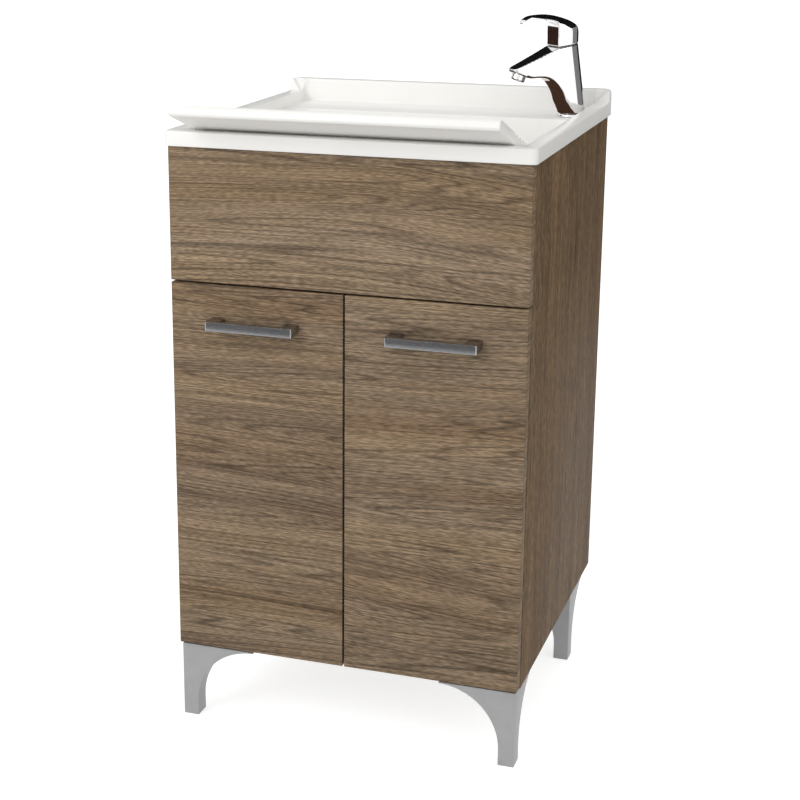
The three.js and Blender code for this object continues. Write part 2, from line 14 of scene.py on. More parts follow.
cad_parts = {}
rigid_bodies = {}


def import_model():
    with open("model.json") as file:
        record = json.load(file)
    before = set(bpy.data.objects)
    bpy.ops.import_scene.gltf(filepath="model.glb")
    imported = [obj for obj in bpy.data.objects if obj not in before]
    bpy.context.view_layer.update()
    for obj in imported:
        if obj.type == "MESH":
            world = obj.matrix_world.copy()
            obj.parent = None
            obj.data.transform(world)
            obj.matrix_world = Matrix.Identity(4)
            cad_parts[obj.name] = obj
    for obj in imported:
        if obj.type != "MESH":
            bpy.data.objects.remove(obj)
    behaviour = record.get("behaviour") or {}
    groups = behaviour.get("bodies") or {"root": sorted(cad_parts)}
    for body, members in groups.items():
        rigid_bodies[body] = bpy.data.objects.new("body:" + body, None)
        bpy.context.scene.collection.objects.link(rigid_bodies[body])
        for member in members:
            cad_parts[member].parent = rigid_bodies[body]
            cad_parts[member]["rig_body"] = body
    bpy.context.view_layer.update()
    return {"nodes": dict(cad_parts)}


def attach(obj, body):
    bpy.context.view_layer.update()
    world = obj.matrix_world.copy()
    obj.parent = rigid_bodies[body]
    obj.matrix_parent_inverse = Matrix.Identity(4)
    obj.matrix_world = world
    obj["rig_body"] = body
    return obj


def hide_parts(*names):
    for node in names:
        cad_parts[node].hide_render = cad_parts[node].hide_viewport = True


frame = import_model()

# ---------------------------------------------------------------- measures
CABINET_WIDTH = 490
FOOT_HEIGHT = 110
MIDDLE_Y = 216.988                      # middle of the whole object's depth
GAP = 0.3                               # between pieces that touch

BASIN_LOW = -5                          # the basin's outer square, across and in depth
BASIN_HIGH = 495
RIM_BOTTOM = 712
RIM_TOP = 732
RIM_INNER_FRONT = 19
LEDGE_TOP = 716                         # sunk ledge and tap deck inside the rim
BACKSPLASH_FRONT = 478
BACKSPLASH_TOP = 750
BACKSPLASH_CORNER = 6                   # at its two upper ends
SWEEP_START = 466                       # where the side rims begin to rise to the backsplash

WASHBOARD_SLOPE = math.radians(19)
LUG_Y = (290, 325)                      # the ledges under the washboard's lower end
LUG_LEFT_SIDES = (24.5, 448.0)
LUG_WIDTH = 17.5

DRAIN_X = 245
DRAIN_Y = 215
OUTLET_Z = 372                          # height of the trap's outlet

TAP_X = 449
TAP_Y = 425
TAP_TURN = math.radians(225)            # the spout points to the front left
TAP_HOLE = 17.5
TAP_LEAN = 0.17                         # how far the body leans forward, per unit of height
TAP_JOINT_TILT = math.atan2(5.9, 39.5)  # the plane between body and lever, over the deck
TAP_JOINT_MIDDLE = (17.25, 0, 104.35)


def at(x, y, z):
    """A point in cabinet millimetres, as a point in the frame."""
    return Vector(((x - CABINET_WIDTH / 2) / 1000, (y - MIDDLE_Y) / 1000, (z + FOOT_HEIGHT) / 1000))


# ---------------------------------------------------------------- shader helpers
def srgb(code):
    """A written sRGB hex colour as linear RGBA."""
    parts = [int(code[i : i + 2], 16) / 255 for i in (1, 3, 5)]
    return [c / 12.92 if c <= 0.04045 else ((c + 0.055) / 1.055) ** 2.4 for c in parts] + [1]


def add(tree, kind, links=None, **settings):
    """Adds a shader node with its settings, and with links or values on its inputs."""
    made = tree.nodes.new("ShaderNode" + kind)
    for name, value in settings.items():
        setattr(made, name, value)
    for name, value in (links or {}).items():
        if isinstance(value, bpy.types.NodeSocket):
            tree.links.new(value, made.inputs[name])
        else:
            made.inputs[name].default_value = value
    return made


def ramp(tree, factor, stops):
    """A colour ramp through (place, colour) stops; a plain number is a grey."""
    made = add(tree, "ValToRGB", {"Fac": factor})
    elements = made.color_ramp.elements
    while len(elements) < len(stops):
        elements.new(0.5)
    for element, (place, colour) in zip(elements, stops):
        element.position = place
        element.color = srgb(colour) if isinstance(colour, str) else [colour] * 3 + [1]
    return made.outputs["Color"]


def ranged(tree, value, source, target):
    """A value that runs over the source range, made to run over the target range."""
    limits = {"From Min": source[0], "From Max": source[1], "To Min": target[0], "To Max": target[1]}
    return add(tree, "MapRange", {"Value": value, **limits}).outputs["Result"]


def finish_named(name, **surface):
    """A material with one Principled surface, whose even values sit on its own sockets."""
    made = bpy.data.materials.new(name)
    made.use_nodes = True
    shader = made.node_tree.nodes["Principled BSDF"]
    for key, value in surface.items():
        shader.inputs[key.replace("_", " ")].default_value = value
    return made, made.node_tree, shader


def stretched_noise(tree, coordinates, periods, seed, **settings):
    """Noise whose grains are about as long as the given periods in millimetres along x, y, z."""
    scale = [1000 / period for period in periods]
    start = [seed, seed * 0.7, -seed]
    spread = add(tree, "Mapping", {"Vector": coordinates, "Scale": scale, "Location": start})
    links = {"Vector": spread.outputs["Vector"], "Scale": 1.0, **settings}
    return add(tree, "TexNoise", links).outputs["Fac"]


def tinted(tree, below, factor, over, mode="MULTIPLY"):
    """One colour laid over another."""
    made = add(tree, "Mix", {"Factor": factor, 6: below, 7: over}, data_type="RGBA", blend_type=mode)
    return made.outputs[2]


def relieved(tree, shader, height, strength, distance):
    """Gives a surface a fine relief from a height pattern; the distance is in millimetres."""
    links = {"Height": height, "Strength": strength, "Distance": distance / 1000}
    relief = add(tree, "Bump", links)
    tree.links.new(relief.outputs["Normal"], shader.inputs["Normal"])


NOISE_RANGE = (0.3, 0.7)                # nearly all of a noise lies between these


def shifted(tree, coordinates, periods, seed, reach):
    """Coordinates pushed across the grain by slow noise, by up to the given millimetres."""
    wander = stretched_noise(tree, coordinates, periods, seed, Detail=1.5)
    amount = ranged(tree, wander, NOISE_RANGE, (-reach / 1000, reach / 1000))
    push = add(tree, "CombineXYZ", {"Y": amount, "Z": amount}).outputs["Vector"]
    return add(tree, "VectorMath", {0: coordinates, 1: push}, operation="ADD").outputs["Vector"]


# ---------------------------------------------------------------- wood
# The foil's printed tones: dark, middle and light bands, mixed with cool and warm clouds.
FASCIA_SHADE = {
    "dark": "#7A6751",
    "middle": "#88745D",
    "light": "#937F68",
    "cool": "#827262",
    "warm": "#927959",
}
# The doors' tones: the fascia's foil a little darker, as painted shade on the lower boards.
DOOR_TONES_WITH_PAINTED_SHADE = {
    "dark": "#735F4C",
    "middle": "#816E59",
    "light": "#8C7963",
    "cool": "#7C6D5D",
    "warm": "#8B7355",
}
# The sides' tones: the front's foil made darker and warmer, the darkness being painted shade on the
# sides.
SIDE_TONES_WITH_PAINTED_SHADE = {
    "dark": "#69533B",
    "middle": "#715B42",
    "light": "#7B6348",
    "cool": "#6D5945",
    "warm": "#74583C",
}

# Where each thin dark line lies on its noise's scale, and how much light it leaves. A line is a
# contour of smooth noise, so lines run side by side and never cross.
LINE_LEVELS = [
    (0.35, 0.6),
    (0.40, 0.46),
    (0.445, 0.64),
    (0.485, 0.44),
    (0.53, 0.62),
    (0.575, 0.46),
    (0.625, 0.6),
]
LINE_FADE_IN = 0.016
LINE_FADE_OUT = 0.01
STRAND_TONES = [(0.36, 0.80), (0.50, 1.0), (0.64, 1.17)]
DASH_TONES = [(0.30, 0.72), (0.50, 1.0), (0.70, 1.3)]
CLOUD_SHARE = 0.25
THICKNESS_PERIOD = 80                   # the grain hardly changes through a board's thickness

BOARD_TURNS = {"x": (0, 0, 0), "z": (0, math.radians(90), 0)}


def grain(along, length, width):
    """Noise periods for a board's grain: its length lies along x once the board is turned."""
    return (length, THICKNESS_PERIOD, width) if along == "x" else (length, width, THICKNESS_PERIOD)


def woodgrain(name, along, seed, shade, coarse=1.0):
    """Wood-grain melamine foil: printed bands that drift along the board, long thin dark lines,
    and a pressed texture of short wavy dashes that catches the light."""
    made, tree, shader = finish_named(name, Roughness=0.65, Specular_IOR_Level=0.12)
    place = add(tree, "TexCoord").outputs["Object"]
    turned = add(tree, "Mapping", {"Vector": place, "Rotation": BOARD_TURNS[along]}).outputs["Vector"]
    bent = shifted(tree, turned, periods=(900, 330, 330), seed=seed, reach=20)
    ruffled = shifted(tree, bent, periods=(40, 16, 16), seed=seed + 2, reach=1.2)

    def layer(coordinates, number, length, width, **settings):
        periods = grain(along, length, width)
        return stretched_noise(tree, coordinates, periods, seed + number, **settings)

    bands = layer(bent, 3, length=1600, width=38, Detail=1.5, Roughness=0.5)
    lines = layer(bent, 5, length=900, width=32, Detail=1.0, Roughness=0.35)
    strands = layer(bent, 6, length=130, width=1.7 * coarse, Detail=1.0)
    dashes = layer(ruffled, 7, length=10, width=1.2 * coarse, Detail=0.0)
    clouds = layer(bent, 9, length=900, width=50, Detail=1.0)

    tone = ramp(tree, bands, [(0.32, shade["dark"]), (0.47, shade["middle"]), (0.62, shade["light"])])
    hue = ramp(tree, clouds, [(0.38, shade["cool"]), (0.62, shade["warm"])])
    body = tinted(tree, tone, CLOUD_SHARE, hue, "MIX")
    contours = []
    for level, light in LINE_LEVELS:
        contours += [(level - LINE_FADE_IN, 1.0), (level, light), (level + LINE_FADE_OUT, 1.0)]
    lined = tinted(tree, body, 1.0, ramp(tree, lines, contours))
    stranded = tinted(tree, lined, 1.0, ramp(tree, strands, STRAND_TONES))
    dashed = tinted(tree, stranded, 1.0, ramp(tree, dashes, DASH_TONES))
    tree.links.new(dashed, shader.inputs["Base Color"])
    relieved(tree, shader, dashes, strength=0.3, distance=0.6)
    return made


# ---------------------------------------------------------------- other finishes
DRIFT_PER_GRAIN = 12                    # how much slower the tone drifts than the relief
BRUSHED_SPREAD = (-0.03, 0.04)          # how far the streaks change the roughness


def speckled(name, colour, other, size, bump, **surface):
    """A plain finish whose colour drifts slightly between two tones, with a fine relief.

    The size is the relief's period and the bump its depth, in millimetres.
    """
    made, tree, shader = finish_named(name, **surface)
    place = add(tree, "TexCoord").outputs["Object"]
    drift = stretched_noise(tree, place, [size * DRIFT_PER_GRAIN] * 3, 2.0, Detail=2.0)
    fine = stretched_noise(tree, place, [size] * 3, 5.0, Detail=2.0)
    tree.links.new(ramp(tree, drift, [(0.35, colour), (0.65, other)]), shader.inputs["Base Color"])
    relieved(tree, shader, fine, strength=1.0, distance=bump)
    return made


def brushed(name, colour, other, periods, roughness):
    """Metal with fine parallel brushing: streaks in its roughness and a faint streak in its tone."""
    made, tree, shader = finish_named(name, Metallic=1.0, Roughness=roughness)
    place = add(tree, "TexCoord").outputs["Object"]
    streaks = stretched_noise(tree, place, periods, 1.0, Detail=3.0, Roughness=0.7)
    low, high = NOISE_RANGE
    tree.links.new(ramp(tree, streaks, [(low, colour), (high, other)]), shader.inputs["Base Color"])
    limits = [roughness + change for change in BRUSHED_SPREAD]
    spread = ranged(tree, streaks, NOISE_RANGE, limits)
    tree.links.new(spread, shader.inputs["Roughness"])
    return made


# Surface values of three finishes.
GEL_COAT = {"Roughness": 0.3, "Specular_IOR_Level": 0.35}
POLISHED = {"Metallic": 1.0, "Roughness": 0.06}
METAL_PAINT = {"Metallic": 0.35, "Roughness": 0.42}

FINISHES = {
    # Printed oak-grain foil on chipboard, matt, grain across the doors.
    "fascia_foil": woodgrain("woodgrain_foil_fascia", "x", 1.3, FASCIA_SHADE),
    # The doors' foil is a little darker than the fascia's: painted shade.
    "door_left_foil_painted_shade": woodgrain("woodgrain_foil_door_left_painted_shade", "x", 4.1, DOOR_TONES_WITH_PAINTED_SHADE),
    "door_right_foil_painted_shade": woodgrain("woodgrain_foil_door_right_painted_shade", "x", 7.7, DOOR_TONES_WITH_PAINTED_SHADE),
    # The same foil on the carcass sides, darker and warmer, with a coarser grain that runs up; the
    # darker tones are painted shade.
    "side_foil_painted_shade": woodgrain("woodgrain_foil_sides_painted_shade", "z", 2.2, SIDE_TONES_WITH_PAINTED_SHADE, coarse=1.8),
    # Plain melamine on the inner boards: pale, matt, slightly pebbled.
    "melamine": speckled("melamine_board", "#D8D3C9", "#D5D0C5", 2.5, 0.02, Roughness=0.6),
    # Gel-coated moulded resin: white, a soft gloss, very slightly wavy from the mould.
    "resin": speckled("gel_coated_resin", "#F5F4F1", "#F2F1ED", 14, 0.01, **GEL_COAT),
    # Polished chromium plate on brass castings.
    "chrome": speckled("chromium_plate", "#F1F1F2", "#EDEDEF", 9, 0.002, **POLISHED),
    # Satin nickel bar handles, brushed along the bar.
    "nickel": brushed("dark_satin_nickel", "#9A9A9B", "#A4A4A6", (60, 0.7, 0.7), 0.26),
    # Silver-grey powder paint on the cast feet: fine orange peel, low gloss.
    "powder": speckled("silver_powder_paint", "#A2A2A3", "#9E9E9F", 1.6, 0.03, **METAL_PAINT),
    # Bright zinc plating on hinges, brackets and screws.
    "zinc": brushed("zinc_plate", "#A9ACAE", "#BBBDBE", (4, 4, 4), 0.34),
    # Moulded polypropylene waste pipes: pale grey, waxy.
    "polypropylene": speckled("polypropylene", "#C9CACA", "#C3C5C5", 3, 0.01, Roughness=0.45),
    # Black moulded rubber: matt, slightly dusty.
    "rubber": speckled("moulded_rubber", "#242427", "#2E2E31", 2, 0.02, Roughness=0.8),
    # Machined brass nut and tails.
    "brass": brushed("machined_brass", "#AE8C4E", "#BE9B5B", (30, 1.2, 1.2), 0.3),
}


# ---------------------------------------------------------------- shared modelling steps
def linked(name, data):
    """A new object in the scene for a mesh, a light or a camera."""
    made = bpy.data.objects.new(name, data)
    bpy.context.scene.collection.objects.link(made)
    return made


def mesh_from(shape, name):
    """A new mesh with a bmesh's form; the bmesh is used up."""
    mesh = bpy.data.meshes.new(name)
    shape.to_mesh(mesh)
    shape.free()
    return mesh


def place_piece(shape, name, finish, nodes, sharp=32, recalculate=True):
    """Turns a bmesh into a finished piece that rides where the CAD nodes it stands for ride."""
    if recalculate:
        bmesh.ops.recalc_face_normals(shape, faces=shape.faces)
    mesh = mesh_from(shape, name)
    mesh.shade_smooth()
    mesh.set_sharp_from_angle(angle=math.radians(sharp))
    mesh.materials.append(FINISHES[finish])
    piece = linked(name, mesh)
    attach(piece, frame["nodes"][nodes[0]]["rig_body"])
    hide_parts(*nodes)
    return piece


def rounded(shape, width, segments=2, sharp=30):
    """Rounds a bmesh's hard edges by a width in its own units."""
    angle = math.radians(sharp)
    edges = [
        edge for edge in shape.edges
        if len(edge.link_faces) == 2 and edge.calc_face_angle(0) > angle
    ]
    bmesh.ops.bevel(
        shape, geom=edges, offset=width, offset_type="OFFSET", affect="EDGES",
        segments=segments, profile=0.5, material=-1, clamp_overlap=True,
    )
    return shape


def softened(node, finish, width, segments=2, sharp=32):
    """A copy of a CAD node with its flat faces made whole and its hard edges rounded."""
    shape = bmesh.new()
    shape.from_mesh(frame["nodes"][node].data)
    bmesh.ops.remove_doubles(shape, verts=shape.verts, dist=1e-6)
    flat = math.radians(0.5)
    bmesh.ops.dissolve_limit(shape, angle_limit=flat, verts=shape.verts, edges=shape.edges)
    rounded(shape, width / 1000, segments, sharp)
    return place_piece(shape, node + "_finished", finish, [node], sharp, recalculate=False)


def prism(points, low, high, along):
    """An outline's solid between two places along an axis; the outline lies in the other two."""
    shape = bmesh.new()
    circle = bmesh.ops.create_circle(shape, cap_ends=True, segments=len(points), radius=1)["verts"]
    spread = {
        "x": lambda a, b, c: (c, a, b),
        "y": lambda a, b, c: (a, c, b),
        "z": lambda a, b, c: (a, b, c),
    }[along]
    for vertex, (a, b) in zip(circle, points):
        vertex.co = spread(a, b, low)
    grown = bmesh.ops.extrude_face_region(shape, geom=shape.faces[:])["geom"]
    far_end = [item for item in grown if isinstance(item, bmesh.types.BMVert)]
    bmesh.ops.translate(shape, verts=far_end, vec=spread(0, 0, high - low))
    bmesh.ops.recalc_face_normals(shape, faces=shape.faces)
    return shape


def spun(profile, steps=64, solid=False, width=0.0):
    """A profile of (radius, height) pairs turned about the Z axis.

    A solid one starts and ends on the axis; the others are closed rings.
    """
    shape = bmesh.new()
    circle = bmesh.ops.create_circle(shape, cap_ends=False, segments=len(profile), radius=1)["verts"]
    for vertex, (radius, height) in zip(circle, profile):
        vertex.co = (radius, 0, height)
    if solid:
        spine = [edge for edge in shape.edges if all(end.co.x < 1e-6 for end in edge.verts)]
        bmesh.ops.delete(shape, geom=spine, context="EDGES")
    bmesh.ops.spin(
        shape, geom=shape.verts[:] + shape.edges[:], cent=(0, 0, 0), axis=(0, 0, 1),
        angle=math.tau, steps=steps, use_merge=True,
    )
    bmesh.ops.remove_doubles(shape, verts=shape.verts, dist=1e-4)
    bmesh.ops.recalc_face_normals(shape, faces=shape.faces)
    if width:
        rounded(shape, width)
    return shape


def rod(radius, low, high, steps=48):
    """A solid cylinder on the Z axis."""
    return spun([(0, low), (radius, low), (radius, high), (0, high)], steps, solid=True)


def moved(shape, *matrices):
    """The same bmesh after the matrices, the last one first."""
    whole = Matrix.Identity(4)
    for matrix in matrices:
        whole = whole @ matrix
    shape.transform(whole)
    return shape


def carved(base, steps, voxel=0.0, smoothing=0):
    """A solid after boolean steps with others, then, where a voxel size is given, eased all over."""
    whole = linked("step", mesh_from(base, "step"))
    helpers = []
    for operation, tool in steps:
        helpers.append(linked("step", mesh_from(tool, "step")))
        step = whole.modifiers.new(operation, "BOOLEAN")
        step.operation = operation
        step.solver = "EXACT"
        step.object = helpers[-1]
    if voxel:
        grid = whole.modifiers.new("grid", "REMESH")
        grid.mode = "VOXEL"
        grid.voxel_size = voxel
        ease = whole.modifiers.new("ease", "SMOOTH")
        ease.factor = 0.5
        ease.iterations = smoothing
    bpy.context.view_layer.update()
    result = whole.evaluated_get(bpy.context.evaluated_depsgraph_get())
    shape = bmesh.new()
    shape.from_mesh(result.to_mesh())
    result.to_mesh_clear()
    for used in [whole, *helpers]:
        mesh = used.data
        bpy.data.objects.remove(used)
        bpy.data.meshes.remove(mesh)
    return shape


TO_FRAME = Matrix.Translation(at(0, 0, 0)) @ Matrix.Scale(0.001, 4)
AT_DRAIN = Matrix.Translation((DRAIN_X, DRAIN_Y, 0))
AT_TAP = Matrix.Translation((TAP_X, TAP_Y, LEDGE_TOP)) @ Matrix.Rotation(TAP_TURN, 4, "Z")


def placed(shape, node, finish, local, sharp=32):
    """A piece drawn in millimetres about its own origin, put where it belongs in the frame."""
    shape.transform(TO_FRAME @ local)
    return place_piece(shape, node + "_finished", finish, [node], sharp)


# ---------------------------------------------------------------- boards and fittings
def boards():
    softened("fascia_panel", "fascia_foil", width=0.7)
    softened("door_left", "door_left_foil_painted_shade", width=0.7)
    softened("door_right", "door_right_foil_painted_shade", width=0.7)
    for node in ("side_panel_left", "side_panel_right"):
        softened(node, "side_foil_painted_shade", width=0.7)
    for node in ("bottom_panel", "back_panel", "front_rail", "rear_rail"):
        softened(node, "melamine", width=0.5)


def fittings():
    for side in ("left", "right"):
        softened(f"handle_{side}", "nickel", width=2.0, segments=4)
        softened(f"fascia_bracket_{side}", "zinc", width=0.3)
        for end in ("outer", "inner"):
            softened(f"handle_screw_{side}_{end}", "zinc", width=0.3)
        for level in ("lower", "upper"):
            softened(f"bumper_{side}_{level}", "rubber", width=0.3)
            softened(f"hinge_cup_{side}_{level}", "zinc", width=0.4)
            softened(f"hinge_arm_{side}_{level}", "zinc", width=0.6)
    for corner in ("front_left", "front_right", "rear_left", "rear_right"):
        softened(f"foot_{corner}", "powder", width=1.0, segments=3)


# ---------------------------------------------------------------- basin
CORNER_STEPS = 8                        # edges round each corner of a ring, and along each side
SIDE_STEPS = 60


def ring_point(index, x, y, radius):
    """The place of one of a rounded rectangle's points, counted round from its +x +y corner."""
    quarter, step = divmod(index, CORNER_STEPS + SIDE_STEPS)
    centres = [
        (x[1] - radius, y[1] - radius),
        (x[0] + radius, y[1] - radius),
        (x[0] + radius, y[0] + radius),
        (x[1] - radius, y[0] + radius),
    ]
    angle = math.radians(90) * (quarter + min(step / CORNER_STEPS, 1))
    reach = Vector((math.cos(angle), math.sin(angle))) * radius
    start = Vector(centres[quarter]) + reach
    end = Vector(centres[(quarter + 1) % 4]) + reach
    share = max(0, step - CORNER_STEPS) / SIDE_STEPS
    return start.lerp(end, share)


def loft(rings):
    """A closed skin through (x range, y range, height, corner radius) rings, the last joined to
    the first.

    The rings are bridged as a stack of equal circles, then each is drawn out to its own place.
    """
    shape = bmesh.new()
    count = 4 * (CORNER_STEPS + SIDE_STEPS)
    stack = []
    for level in range(len(rings) + 1):
        place = Matrix.Translation((0, 0, level))
        circle = bmesh.ops.create_circle(shape, cap_ends=False, segments=count, radius=1, matrix=place)
        stack.append(circle["verts"])
    loops = []
    for circle in stack:
        edges = [edge for vertex in circle for edge in vertex.link_edges]
        loops.append(list(dict.fromkeys(edges)))
    for lower, upper in zip(loops, loops[1:]):
        bmesh.ops.bridge_loops(shape, edges=lower + upper)
    for level, circle in enumerate(stack):
        x, y, z, radius = rings[level % len(rings)]
        for index, vertex in enumerate(circle):
            vertex.co = at(*ring_point(index, x, y, radius), z)
    bmesh.ops.remove_doubles(shape, verts=shape.verts, dist=1e-6)
    return shape


def inset(amount):
    """The basin's outer square drawn in by an amount, as its x range and its y range."""
    span = (BASIN_LOW + amount, BASIN_HIGH - amount)
    return span, span


def well(grow):
    """The opening inside the rim, widened by an amount, as its x range and its y range."""
    return (17 - grow, 473 + grow), (RIM_INNER_FRONT - grow, BACKSPLASH_FRONT + grow)


DECK_EDGE = ((16.6, 473.4), (18.6, 484))

# The moulding's section as (x range, y range, height, corner radius): out under the rim and over
# it, in across the ledge, down the bowl to the waste, and back up the bowl's outside.
BASIN_RINGS = [
    (*DECK_EDGE, RIM_BOTTOM, 5),
    (*inset(0.6), RIM_BOTTOM, 9.4),
    (*inset(0), RIM_BOTTOM + 0.8, 10),
    (*inset(0), RIM_TOP - 3, 10),
    (*inset(0.9), RIM_TOP - 0.9, 9.1),
    (*inset(3), RIM_TOP, 7),
    (*well(3), RIM_TOP, 11),
    (*well(0.9), RIM_TOP - 0.9, 9),
    (*well(0), RIM_TOP - 3, 8),
    (*well(0), LEDGE_TOP + 3, 8),
    (*well(-0.9), LEDGE_TOP + 0.9, 7.5),
    (*well(-3), LEDGE_TOP, 6),
    ((20.6, 469.4), (28.5, 393), LEDGE_TOP, 33),
    ((22.6, 467.4), (31.5, 390.5), LEDGE_TOP - 1.2, 34),
    ((23.3, 466.7), (33, 389.5), LEDGE_TOP - 5, 35),
    ((27, 463), (44, 384), 640, 36),
    ((31, 459), (56, 374), 560, 38),
    ((35, 455), (63, 367), 520, 40),
    ((42, 448), (69, 361), 500, 42),
    ((52, 438), (77, 352), 488, 44),
    ((75, 415), (95, 335), 480, 46),
    ((150, 340), (160, 270), 477.4, 40),
    ((203, 287), (173, 257), 476.4, 41.9),
    ((216.5, 273.5), (186.5, 243.5), 476, 28.4),
    ((217, 273), (187, 243), 475, 27.9),
    ((217, 273), (187, 243), 471, 27.9),
    ((150, 340), (160, 270), 471, 40),
    ((70, 420), (90, 340), 472, 48),
    ((46, 444), (72, 358), 481, 46),
    ((35, 455), (63, 367), 498, 43),
    ((26, 464), (51, 379), 556, 40),
    ((22, 468), (39, 389), 636, 38),
    ((18.4, 471.6), (28, 395), LEDGE_TOP - 7, 36),
    (*DECK_EDGE, LEDGE_TOP - 7, 5),
]


def end_rounding(x):
    """How much of the backsplash's rise is left near its two ends, whose tops are rounded."""
    inside = min(x - BASIN_LOW, BASIN_HIGH - x)
    if inside >= BACKSPLASH_CORNER:
        return 1
    rest = BACKSPLASH_CORNER**2 - (BACKSPLASH_CORNER - inside) ** 2
    drop = BACKSPLASH_CORNER - math.sqrt(max(0, rest))
    return 1 - drop / (BACKSPLASH_TOP - RIM_TOP)


def raise_backsplash(shape):
    """Lifts the rim's top at the rear into the backsplash, with a sweep up from the side rims."""
    lowest_lifted = at(0, 0, RIM_TOP - 4).z
    rise = (BACKSPLASH_TOP - RIM_TOP) / 1000
    for vertex in shape.verts:
        depth = vertex.co.y * 1000 + MIDDLE_Y
        if vertex.co.z > lowest_lifted and depth > SWEEP_START:
            share = min(1, (depth - SWEEP_START) / (BACKSPLASH_FRONT - SWEEP_START - 1))
            vertex.co.z += rise * share**2 * end_rounding(vertex.co.x * 1000 + CABINET_WIDTH / 2)


def washboard_underside(y):
    """Height of the washboard's underside over a point at a depth."""
    return RIM_TOP + GAP - math.tan(WASHBOARD_SLOPE) * (y - RIM_INNER_FRONT)


def lug_outline():
    """Side view of the ledge moulded in the bowl's side, which carries the washboard's lower end."""
    near, far = LUG_Y
    above_near = washboard_underside(near)
    above_far = washboard_underside(far)
    return [
        (near, above_near - 24),
        (far, above_far - 14),
        (far, above_far - GAP),
        (near, above_near - GAP),
    ]


def basin():
    """The white moulding: rim, ledge, bowl and backsplash, with its lugs and the tap's hole."""
    shape = loft(BASIN_RINGS)
    raise_backsplash(shape)
    bmesh.ops.recalc_face_normals(shape, faces=shape.faces)
    shape.transform(TO_FRAME.inverted())
    steps = []
    for low in LUG_LEFT_SIDES:
        lug = prism(lug_outline(), low, low + LUG_WIDTH, along="x")
        steps.append(("UNION", rounded(lug, width=1.5, segments=3)))
    hole = rod(TAP_HOLE, low=-30, high=30, steps=64)
    steps.append(("DIFFERENCE", moved(hole, AT_TAP)))
    whole = carved(shape, steps)
    whole.transform(TO_FRAME)
    return place_piece(whole, "basin_moulding", "resin", ["basin"])


def washboard():
    softened("washboard", "resin", width=1.3, segments=3, sharp=25)


# ---------------------------------------------------------------- waste and trap
# Half sections as (radius, height) pairs, with heights from the cabinet's underside.
FLANGE_PROFILE = [
    (18, 440), (27.5, 440), (27.5, 478.3), (40, 478.3), (39.7, 479.2), (38.5, 480.1), (36, 480.5),
    (26, 480.5), (24, 480.0), (22.6, 478.6), (22, 476), (22, 470), (18, 470),
]
PLUG_PROFILE = [
    (0, 470.3), (20.4, 470.3), (21, 471.2), (21.5, 476.5), (21.3, 478.4), (20, 480), (9, 480.6),
    (5.6, 481.4), (4.2, 483.6), (4, 487), (5.6, 488.6), (6, 490.6), (5, 492.4), (3, 493), (0, 493),
]
GASKET_PROFILE = [(28.4, 467.5), (39, 467.5), (39, 470.7), (28.4, 470.7)]
TAIL_PROFILE = [(15.5, 345), (17.7, 345), (17.7, 466), (15.5, 466)]
TAIL_NUT_PROFILE = [
    (18.3, 424), (33.4, 424), (34.2, 425), (35, 450), (34.4, 450), (28, 450), (28, 439.7), (18.3, 439.7),
]
BOTTLE_PROFILE = [(18.3, 392), (18.3, 388), (31, 388), (31, 300), (34, 300), (34, 392)]
CUP_PROFILE = [
    (0, 270), (27, 270), (30, 271.5), (36, 278.5), (37, 281), (37, 309), (36.4, 310), (34.3, 310),
    (34.3, 299.7), (30, 299.7), (30, 284), (0, 284),
]
# These two lie along the outlet: lengths are from the nut's middle and the pipe's inner end.
OUTLET_NUT_PROFILE = [
    (14.6, -13), (21.2, -13), (22, -12), (22, 12), (21.2, 13), (17.3, 13), (17.3, -2), (14.6, -2),
]
OUTLET_PIPE_PROFILE = [(12, 0), (14.2, 0), (14.2, 227), (12, 227)]

BACKWARD = Matrix.Rotation(-math.pi / 2, 4, "X")
FORWARD = Matrix.Rotation(math.pi / 2, 4, "X")


def at_outlet(y):
    """A place on the outlet's axis, at a distance behind the drain."""
    return Matrix.Translation((DRAIN_X, DRAIN_Y + y, OUTLET_Z))


def ribbed(shape, radius, ribs, depth):
    """Presses grip flutes into the outer wall of a turned piece."""
    for vertex in shape.verts:
        reach = math.hypot(vertex.co.x, vertex.co.y)
        if reach > radius - 0.2:
            wave = 0.5 - 0.5 * math.cos(ribs * math.atan2(vertex.co.y, vertex.co.x))
            share = 1 - depth * wave**3 / reach
            vertex.co.x *= share
            vertex.co.y *= share
    return shape


def trap_body():
    """The bottle with its outlet branch."""
    outlet = Matrix.Translation((0, 0, OUTLET_Z)) @ BACKWARD
    branch = moved(rod(radius=17, low=30, high=62), outlet)
    bore = moved(rod(radius=14.5, low=20, high=70), outlet)
    body = carved(spun(BOTTLE_PROFILE, steps=64), [("UNION", branch), ("DIFFERENCE", bore)])
    return rounded(body, width=0.6, segments=2, sharp=40)


